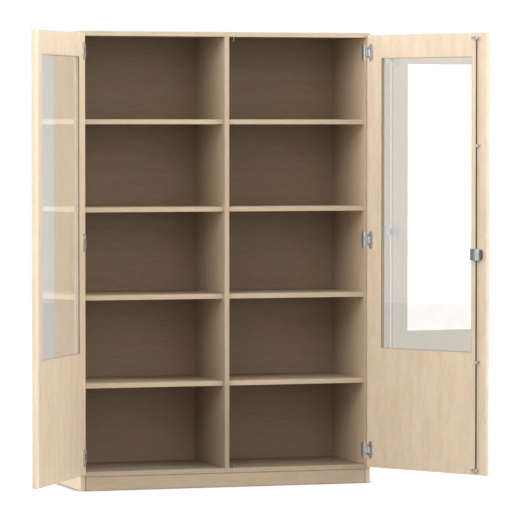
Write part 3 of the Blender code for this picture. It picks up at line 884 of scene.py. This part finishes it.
class Finishes:
    """The finishes of the cabinet's fittings, each built once."""

    def __init__(self) -> None:
        """Builds the materials."""
        screw = Metal("zinc_screw", (0.40, 0.39, 0.36), 0.20, 0.34, 1400.0)
        cast = Metal("cast_zinc", (0.66, 0.685, 0.70), 0.18, 0.32, 700.0)
        polished = Metal("polished_zinc", (0.62, 0.61, 0.59), 0.12, 0.24, 1100.0)
        dull = Metal("dull_zinc", (0.26, 0.25, 0.24), 0.38, 0.52)
        bright = Metal("bright_steel", (0.52, 0.52, 0.50), 0.14, 0.26, 1200.0)
        rod = Metal("dark_rod", (0.105, 0.078, 0.058), 0.35, 0.50, 600.0)
        cover = DomedMetal("lock_cover", (0.41, 0.43, 0.45), 0.18, 0.30, 700.0, metallic=0.6)
        strip = MouldedPlastic("strip_plastic", (0.97, 0.90, 0.73), 0.30, 0.40)
        # Painted light: the left hinges' plates are a shaded copy of the right ones', with far darker
        # arms, and the right ones the lit copy.
        arm = (0.27, 0.28, 0.29)
        left = HingePlateMetal("hinge_plate_left", (0.66, 0.69, 0.71), 0.22, 0.36, rim_shade_tint=arm)
        right = HingePlateMetal("hinge_plate_right", (0.80, 0.82, 0.84), 0.20, 0.34)
        self.screw, self.cast = screw.material(), cast.material()
        self.polished, self.dull = polished.material(), dull.material()
        self.bright, self.rod = bright.material(), rod.material()
        self.cover, self.strip = cover.material(), strip.material()
        self.plates = {Hand.LEFT: left.material(), Hand.RIGHT: right.material()}


@dataclass
class SubAssembly:
    """What every sub-assembly works with, and how it dresses its CAD nodes."""

    nodes: dict[str, Object]  # the CAD nodes by name
    scatter: Scatter
    finishes: Finishes
    rounding: EdgeRounding

    def dress_all(
        self, names: Iterable[str], finish: Material, rounding: EdgeRounding | None = None
    ) -> None:
        """Gives CAD nodes one finish and rounded arrises.

        Args:
            names: The nodes' names.
            finish: The finish.
            rounding: How they are rounded, where it isn't as the rest.
        """
        for name in names:
            paint(self.nodes[name], finish)
            (rounding or self.rounding).apply(self.nodes[name])


@dataclass
class Carcass(SubAssembly):
    """The fixed boards, the plinth, and the screws in the back panel."""

    plinth_rounding: EdgeRounding
    screw_gap: float = 0.19  # between two screws of the back panel
    first_screw: float = 0.75  # height of its lowest screw above its foot, as a share of the gap
    snug_fit: float = 0.0006  # how far its corners reach out to close the gap round it

    def dress(self) -> None:
        """Gives every board its laminate and rounded arrises."""
        # The inward faces of these boards take painted shade, darker towards the back.
        inward = {"inside_shade": InsideShade.INWARD}
        side = MapleLaminate(
            "maple_side", Grain.UPRIGHT, Axis.X, **inward,
            edge_tint=(0.838, 0.823, 0.795), front_shade_tint=(0.98, 0.945, 0.915),
        )
        # Painted shade: the divider grows darker towards the back, and towards the bottom where less light
        # falls.
        divider = MapleLaminate(
            "maple_divider", Grain.UPRIGHT, Axis.X, inside_shade=InsideShade.ALL,
            edge_tint=(0.85, 0.87, 0.86), front_shade_tint=(0.80, 0.77, 0.75), back_shade_tint=(0.43, 0.405, 0.385),
            painted_shades=(PaintedShade(Axis.Z, 0.62, 0.22, (0.72, 0.72, 0.72)),),
        )
        # Painted shade: the top board's underside is far darker than the other inward faces.
        top = MapleLaminate(
            "maple_top", Grain.LEVEL, Axis.Z, **inward,
            edge_tint=(0.75, 0.745, 0.73), front_shade_tint=(0.42, 0.41, 0.40), back_shade_tint=(0.29, 0.28, 0.27),
        )
        # Painted shade: the floor board's top face and front edge are darker than the other boards'.
        bottom = MapleLaminate(
            "maple_bottom", Grain.LEVEL, Axis.Z, **inward,
            edge_tint=(0.62, 0.60, 0.585), front_shade_tint=(0.535, 0.53, 0.52), back_shade_tint=(0.305, 0.295, 0.288),
        )
        back = MapleLaminate(
            "maple_back", Grain.LEVEL, Axis.Y, **inward,
            dashes=PrintLayer(250.0, 0.58, 0.70, 0.26), back_shade_tint=(0.345, 0.294, 0.247),
        )
        # Painted shadow in the joint gaps: down the plinth front's ends and along its top under the floor
        # board.
        ends = PaintedShade(Axis.X, 0.5774, 0.5790, (0.42, 0.36, 0.31))
        rim = PaintedShade(Axis.Z, 0.0512, 0.0528, (0.72, 0.70, 0.67))
        # Painted shade: the plinth front and back take a darker copy of the print than the plinth's end
        # boards.
        plinth = MapleLaminate(
            "maple_plinth", Grain.LEVEL, Axis.Y, painted_shades=(ends, rim),
            pale=(0.555, 0.45, 0.334), deep=(0.487, 0.378, 0.267),
        )
        plinth_end = MapleLaminate("maple_plinth_end", Grain.UPRIGHT, Axis.X)

        self.dress_all(("side_panel_left", "side_panel_right"), side.material())
        self.dress_all(("centre_divider",), divider.material())
        self.dress_all(("top_panel",), top.material())
        self.dress_all(("bottom_panel",), bottom.material())
        self.dress_all(("plinth_front", "plinth_back"), plinth.material(), self.plinth_rounding)
        plinth_ends = ("plinth_side_left", "plinth_side_right", "plinth_cross_board")
        self.dress_all(plinth_ends, plinth_end.material(), self.plinth_rounding)
        behind = self.nodes["back_panel"]
        paint(behind, back.material())
        modify(behind, "join", "WELD", merge_threshold=WELD_GAP)
        modify(behind, "snug", "DISPLACE", strength=self.snug_fit, mid_level=0.0)
        self.rounding.shading.apply(behind)
        LOG.info("carcass dressed")

    def back_screws(self, head: Object) -> None:
        """Screws the back panel to the divider and to the floor board.

        Args:
            head: The screw's head.
        """
        low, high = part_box("back_panel")
        floor_low, floor_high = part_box("bottom_panel")
        rows = range(int((high.z - low.z) / self.screw_gap))
        places = [(0.0, high.y, low.z + (row + self.first_screw) * self.screw_gap) for row in rows]
        level = (floor_low.z + floor_high.z) / 2
        places += [(step * self.screw_gap, high.y, level) for step in (-1, -2, -3, 1, 2, 3)]
        spots = [Spot(Vector(place), Vector((0.0, 1.0, 0.0))) for place in places]
        piece = self.scatter.build("back_panel_screws", spots, head, self.finishes.screw)
        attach(piece, "carcass")


@dataclass
class Shelving(SubAssembly):
    """The shelves and the pins they lie on."""

    pin_radius: float = 0.0025
    pin_reach: float = 0.007  # how far a pin stands out of the board
    pin_root: float = 0.004  # how far it goes into the board
    pin_inset: float = 0.045  # from the shelf's front or back
    pin_round: float = 0.0006  # the length of its rounded tip
    collar: float = 1.5  # the radius of its collar, as a share of its own
    collar_height: float = 0.0009
    collar_slope: float = 0.0002
    seat: float = 0.0005  # how deep the collar sits in the board
    play: float = 0.0001  # between a pin and the shelf

    def names(self) -> list[str]:
        """The shelves' node names."""
        return sorted(name for name in self.nodes if name.startswith("shelf_"))

    def dress(self) -> None:
        """Gives the shelves their laminate."""
        # Painted shade: the shelves, faces and edges alike, grow darker towards the back.
        laminate = MapleLaminate(
            "maple_shelf", Grain.LEVEL, Axis.Z, shift=(0.0, 0.4, 0.0), inside_shade=InsideShade.ALL,
            edge_tint=(0.89, 0.885, 0.865), front_shade_tint=(0.84, 0.82, 0.80), back_shade_tint=(0.335, 0.31, 0.298),
        )
        self.dress_all(self.names(), laminate.material())
        LOG.info("%d shelves dressed", len(self.names()))

    def pins(self) -> None:
        """Puts four pins under each shelf."""
        radius, wide = self.pin_radius, self.pin_radius * self.collar
        slope_end = self.collar_height + self.collar_slope
        root = ((radius, -self.pin_root), (radius, 0.0))
        collar = ((wide, 0.0), (wide, self.collar_height), (radius, slope_end))
        tip = ((radius, self.pin_reach - self.pin_round), (radius * 0.75, self.pin_reach))
        template = as_object("shelf_pin", Turned(root + collar + tip, sides=16).mesh())
        spots = []
        for name in self.names():
            low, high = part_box(name)
            level = low.z - radius - self.play
            for wall, way in ((low.x, 1.0), (high.x, -1.0)):
                for depth in (low.y + self.pin_inset, high.y - self.pin_inset):
                    place = Vector((wall - way * self.seat, depth, level))
                    spots.append(Spot(place, Vector((way, 0.0, 0.0))))
        piece = self.scatter.build("shelf_pins", spots, template, self.finishes.bright)
        bpy.data.objects.remove(template, do_unlink=True)
        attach(piece, "carcass")


@dataclass
class GlazedDoor(SubAssembly):
    """One door: its board, its pane and its bead."""

    bead_rounding: EdgeRounding
    frame: DoorFrame
    glass: CoatedGlass
    shift: Place = (0.0, 0.0, 0.0)  # where in the pattern the board is cut
    edge_tint: Colour = (0.94, 0.985, 1.02)

    def dress(self) -> None:
        """Gives the board, the pane and the bead their finishes."""
        side = self.frame.hand.word
        cut = {"turn": self.frame.turn, "shift": self.shift, "edge_tint": self.edge_tint}
        board = MapleLaminate("maple_door_" + side, Grain.UPRIGHT, Axis.Y, **cut)
        bead = RevealShadedBead("bead_" + side, self.frame)
        self.dress_all(("door_" + side,), board.material())
        paint(self.nodes["pane_" + side], self.glass.material())
        self.dress_all(("glazing_bead_" + side,), bead.material(), self.bead_rounding)
        LOG.info("door_%s dressed", side)


@dataclass
class HingeSet(SubAssembly):
    """The six hinges, with their screws.

    The leaf screws are sunk into the leaf so that the heads clear the side panel when the door is shut.
    """

    plate_rise: float = 0.0225  # height of a body screw above the hinge's middle
    plate_behind: float = 0.0327  # from the hinge axis back to the body plate's middle
    plate_face: float = 0.0168  # from the hinge axis to the body plate's face
    leaf_rise: float = 0.0245  # height of a leaf screw above the hinge's middle
    leaf_along: float = 0.0105  # from the axis along the door to a leaf screw
    leaf_seat: float = 0.0103  # from the middle of the door's board up to the leaf screws' seats
    screw_size: float = 0.85

    def dress(self) -> None:
        """Gives the castings and pins their metals."""
        for start, metal in (
            ("hinge_body_left", self.finishes.plates[Hand.LEFT]),
            ("hinge_body_right", self.finishes.plates[Hand.RIGHT]),
            ("hinge_leaf", self.finishes.cast),
            ("hinge_pin", self.finishes.bright),
        ):
            self.dress_all((name for name in self.nodes if name.startswith(start)), metal)
        LOG.info("hinges dressed")

    def screws(self, frame: DoorFrame, head: Object) -> None:
        """Puts the screws into one door's hinges.

        Args:
            frame: The door's frame.
            head: The screw's head.
        """
        hand = frame.hand
        face_x = hand.value * (frame.axis_x - self.plate_face)
        on_side, on_door = [], []
        for end in ("top", "middle", "bottom"):
            low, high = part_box("hinge_body_%s_%s" % (hand.word, end))
            middle = (low.z + high.z) / 2
            for way in (-1, 1):
                height = middle + way * self.plate_rise
                place = Vector((face_x, frame.axis_y + self.plate_behind, height))
                on_side.append(Spot(place, Vector((-hand.value, 0.0, 0.0))))
                height = middle + way * self.leaf_rise
                on_door.append(Spot(frame.point(self.leaf_along, self.leaf_seat, height), frame.inward()))
        for label, spots, body in (
            ("plate", on_side, "carcass"),
            ("leaf", on_door, hand.word + "_door"),
        ):
            name = "hinge_%s_screws_%s" % (label, hand.word)
            piece = self.scatter.build(name, spots, head, self.finishes.screw, self.screw_size)
            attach(piece, body)


@dataclass
class RodLock(SubAssembly):
    """The lock on the right door: case, rods, hooks, guides and strike pins.

    The rods lie so close to the door that no shadow is seen beside them, so they cast none.
    """

    frame: DoorFrame
    rod_u: float = 0.551  # the rods' distance from the hinge axis
    guide_face: float = 0.0118  # from the middle of the door's board up to a guide's foot
    guide_reach: float = 0.0090  # from the rod to a guide's screw
    screw_size: float = 0.5

    def dress(self) -> None:
        """Gives each fitting its metal."""
        rods = ("rod_upper", "rod_lower")
        ends = ("rod_hook_upper", "rod_hook_lower", "rod_guide_upper", "rod_guide_lower")
        self.dress_all(("lock_case",), self.finishes.cover)
        self.dress_all(("lock_cylinder", "lock_plug", "rod_hub"), self.finishes.bright)
        self.dress_all(rods, self.finishes.rod)
        self.dress_all(ends, self.finishes.polished)
        self.dress_all(("strike_pin_top", "strike_pin_bottom"), self.finishes.dull)
        for name in rods:
            self.nodes[name].visible_shadow = False
        LOG.info("lock dressed")

    def screws(self, head: Object) -> None:
        """Screws the rod guides down.

        Args:
            head: The screw's head.
        """
        spots = []
        for end in ("upper", "lower"):
            low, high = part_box("rod_guide_" + end)
            middle = (low.z + high.z) / 2
            for way in (-1, 1):
                place = self.frame.point(self.rod_u + way * self.guide_reach, self.guide_face, middle)
                spots.append(Spot(place, self.frame.inward()))
        finish = self.finishes.screw
        piece = self.scatter.build("rod_guide_screws", spots, head, finish, self.screw_size)
        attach(piece, "right_door")


@dataclass(frozen=True)
class Softbox:
    """A soft lamp that shines at a point."""

    name: str
    place: Place
    size: tuple[float, float]  # width and height
    power: float  # in watts
    aim: Place = (0.0, -0.3, 1.0)

    def build(self) -> None:
        """Hangs the lamp, unseen by the camera itself."""
        data = bpy.data.lights.new(self.name, "AREA")
        data.shape = "RECTANGLE"
        data.size, data.size_y = self.size
        data.energy = self.power
        lamp = linked(self.name, data)
        lamp.location = self.place
        way = Vector(self.aim) - Vector(self.place)
        lamp.rotation_euler = way.to_track_quat("-Z", "Y").to_euler()
        lamp.visible_camera = False


@dataclass
class Studio:
    """The pale floor, the white surround, the lamps and the camera."""

    camera_place: Place = (-4.447, -14.499, 1.422)
    camera_turn: Place = (87.999, 0.0, -17.786)  # in degrees
    lens: float = 262.08  # focal length in millimetres
    frame_width: float = 36.0  # in millimetres
    clip: tuple[float, float] = (0.5, 200.0)  # the nearest and furthest distance seen
    ambient: float = 0.73  # strength of the surround's light on the object
    floor_radius: float = 15.6
    floor_sides: int = 64
    floor_drop: float = 0.0005  # below the object's foot
    floor_bounce: Colour = (0.34, 0.34, 0.34)  # of the floor's light on the object
    floor_shade: Colour = (0.30, 0.30, 0.30)  # the part of the floor that takes the shadow
    floor_in_glass: float = 0.87  # how bright the floor looks in a gloss or through glass
    pool: tuple[float, float] = (1.2, 3.5)  # radii between which the floor's glow grows
    pool_glow: float = 0.80  # what it begins with
    contact: float = 0.05  # how far from the object's foot the painted contact shadow reaches
    contact_span: tuple[float, float] = (0.5, 0.95)  # openness to the sky between dark and plain
    contact_glow: float = 0.05  # what is left of the glow in the dark
    lamps: tuple[Softbox, ...] = (
        Softbox("left_lamp", (-5.2, -3.5, 3.9), (8.0, 3.0), 240.0),
        Softbox("left_back_lamp", (-5.2, 1.5, 3.9), (5.0, 2.6), 103.0),
        Softbox("right_lamp", (5.2, -3.5, 3.9), (5.0, 2.6), 248.0),
        Softbox("right_back_lamp", (5.2, 1.5, 3.9), (5.0, 2.6), 88.0),
        Softbox("top_lamp", (0.0, -1.5, 6.0), (5.0, 4.0), 15.0, (0.0, -0.8, 0.9)),
        Softbox("front_lamp", (0.0, -9.0, 3.0), (6.0, 5.0), 85.0),
        Softbox("left_card", (-5.5, 0.0, 1.15), (2.4, 2.2), 30.0, (0.0, 0.0, 1.15)),
    )

    def build(self) -> None:
        """Sets up the whole studio."""
        self._camera()
        self._surround()
        self._floor()
        for lamp in self.lamps:
            lamp.build()
        bpy.context.scene.view_settings.view_transform = "Standard"
        LOG.info("studio ready with %d lamps", len(self.lamps))

    def _camera(self) -> None:
        """Places the camera at the photograph's angle."""
        data = bpy.data.cameras.new("camera")
        data.sensor_width = self.frame_width
        data.lens = self.lens
        data.clip_start, data.clip_end = self.clip
        camera = linked("camera", data)
        camera.location = self.camera_place
        camera.rotation_euler = [math.radians(angle) for angle in self.camera_turn]
        bpy.context.scene.camera = camera

    def _seen(self, sheet: ShaderSheet) -> Socket:
        """Where something is seen directly, in a gloss or through glass.

        Args:
            sheet: The nodes to add to.

        Returns:
            A socket that is 1 there.
        """
        path = sheet.add("LightPath").outputs
        seen = sheet.sum("MAXIMUM", path["Is Camera Ray"], path["Is Glossy Ray"])
        return sheet.sum("MAXIMUM", seen, path["Is Transmission Ray"])

    def _surround(self) -> None:
        """A white surround that lights the object more dimly than it looks."""
        world = bpy.data.worlds.new("surround")
        bpy.context.scene.world = world
        world.use_nodes = True
        sheet = ShaderSheet(world.node_tree)
        shown = sheet.tree.nodes["Background"]
        sheet.feed(shown.inputs["Color"], WHITE)
        light = sheet.add("Background", {"Color": WHITE, "Strength": self.ambient})
        picked = sheet.either(self._seen(sheet), light, shown)
        sheet.feed(sheet.tree.nodes["World Output"].inputs["Surface"], picked.outputs[0])

    def _floor(self) -> None:
        """A round pale floor that keeps the object's shadow and melts into the surround."""
        shape = bmesh.new()
        round_edge = {"segments": self.floor_sides, "radius": self.floor_radius}
        bmesh.ops.create_circle(shape, cap_ends=True, **round_edge)
        floor = as_object("floor", shape)
        floor.location = (0.0, 0.0, -self.floor_drop)
        sheet = MaterialSheet("pale_floor")
        sheet.set(Base_Color=self.floor_bounce, Roughness=0.9)
        away = sheet.vector("LENGTH", sheet.place()).outputs["Value"]
        # Painted contact shadow: the floor's glow fades where the object's foot hides the sky.
        open_sky = sheet.add("AmbientOcclusion", {"Distance": self.contact}, samples=8).outputs["AO"]
        pool = sheet.span(away, *self.pool, self.pool_glow, 1.0)
        foot = sheet.span(open_sky, *self.contact_span, self.contact_glow, 1.0)
        strength = sheet.sum("MULTIPLY", pool, foot)
        glow = sheet.add("Emission", {"Color": WHITE, "Strength": strength})
        shade = sheet.add("BsdfDiffuse", {"Color": self.floor_shade})
        direct = sheet.add("AddShader", {0: shade.outputs[0], 1: glow.outputs[0]})
        mirrored = sheet.add("Emission", {"Color": WHITE, "Strength": self.floor_in_glass})
        shown = sheet.either(sheet.add("LightPath").outputs["Is Camera Ray"], mirrored, direct)
        picked = sheet.either(self._seen(sheet), sheet.shader, shown)
        sheet.feed(sheet.tree.nodes["Material Output"].inputs["Surface"], picked.outputs[0])
        paint(floor, sheet.material)


def clear_startup(names: Iterable[str] = ("Cube", "Light", "Camera")) -> None:
    """Removes what Blender's startup scene holds.

    Args:
        names: The objects' names.
    """
    for name in names:
        found = bpy.data.objects.get(name)
        if found is not None:
            bpy.data.objects.remove(found, do_unlink=True)


def main() -> None:
    """Builds the cabinet's looks class by class and reports each."""
    logging.basicConfig(level=logging.INFO, format="%(name)s: %(message)s")
    clear_startup()
    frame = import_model()
    nodes = frame["nodes"]

    shading = SmoothShading()
    board_rounding = EdgeRounding(0.0009, 2, shading)
    plinth_rounding = EdgeRounding(0.0017, 3, shading)
    bead_rounding = EdgeRounding(0.0007, 3, shading)
    hinge_rounding = EdgeRounding(0.0011, 3, shading)
    fitting_rounding = EdgeRounding(0.00045, 2, shading)
    strip_rounding = EdgeRounding(0.0003, 2, shading)
    finishes = Finishes()
    kit = (nodes, Scatter("small_pieces"), finishes)
    head = CrossScrew().build()

    carcass = Carcass(*kit, board_rounding, plinth_rounding)
    carcass.dress()
    carcass.back_screws(head)
    shelving = Shelving(*kit, board_rounding)
    shelving.dress()
    shelving.pins()

    hinges = HingeSet(*kit, hinge_rounding)
    hinges.dress()
    left_glass = CoatedGlass("glass_left", (1.0, 0.99, 0.97), 2.0, LEFT_DOOR.turn)
    right_glass = CoatedGlass("glass_right", (0.685, 0.668, 0.63), 2.3, RIGHT_DOOR.turn, 1.3)
    for door_frame, glass, shift in (
        (LEFT_DOOR, left_glass, (0.3, 0.0, 0.15)),
        (RIGHT_DOOR, right_glass, (0.0, 0.0, 0.0)),
    ):
        GlazedDoor(*kit, board_rounding, bead_rounding, door_frame, glass, shift).dress()
        hinges.screws(door_frame, head)
    paint(nodes["closing_strip"], finishes.strip)
    strip_rounding.apply(nodes["closing_strip"])
    lock = RodLock(*kit, fitting_rounding, RIGHT_DOOR)
    lock.dress()
    lock.screws(head)
    bpy.data.objects.remove(head, do_unlink=True)

    Studio().build()


if __name__ == "__main__":
    main()
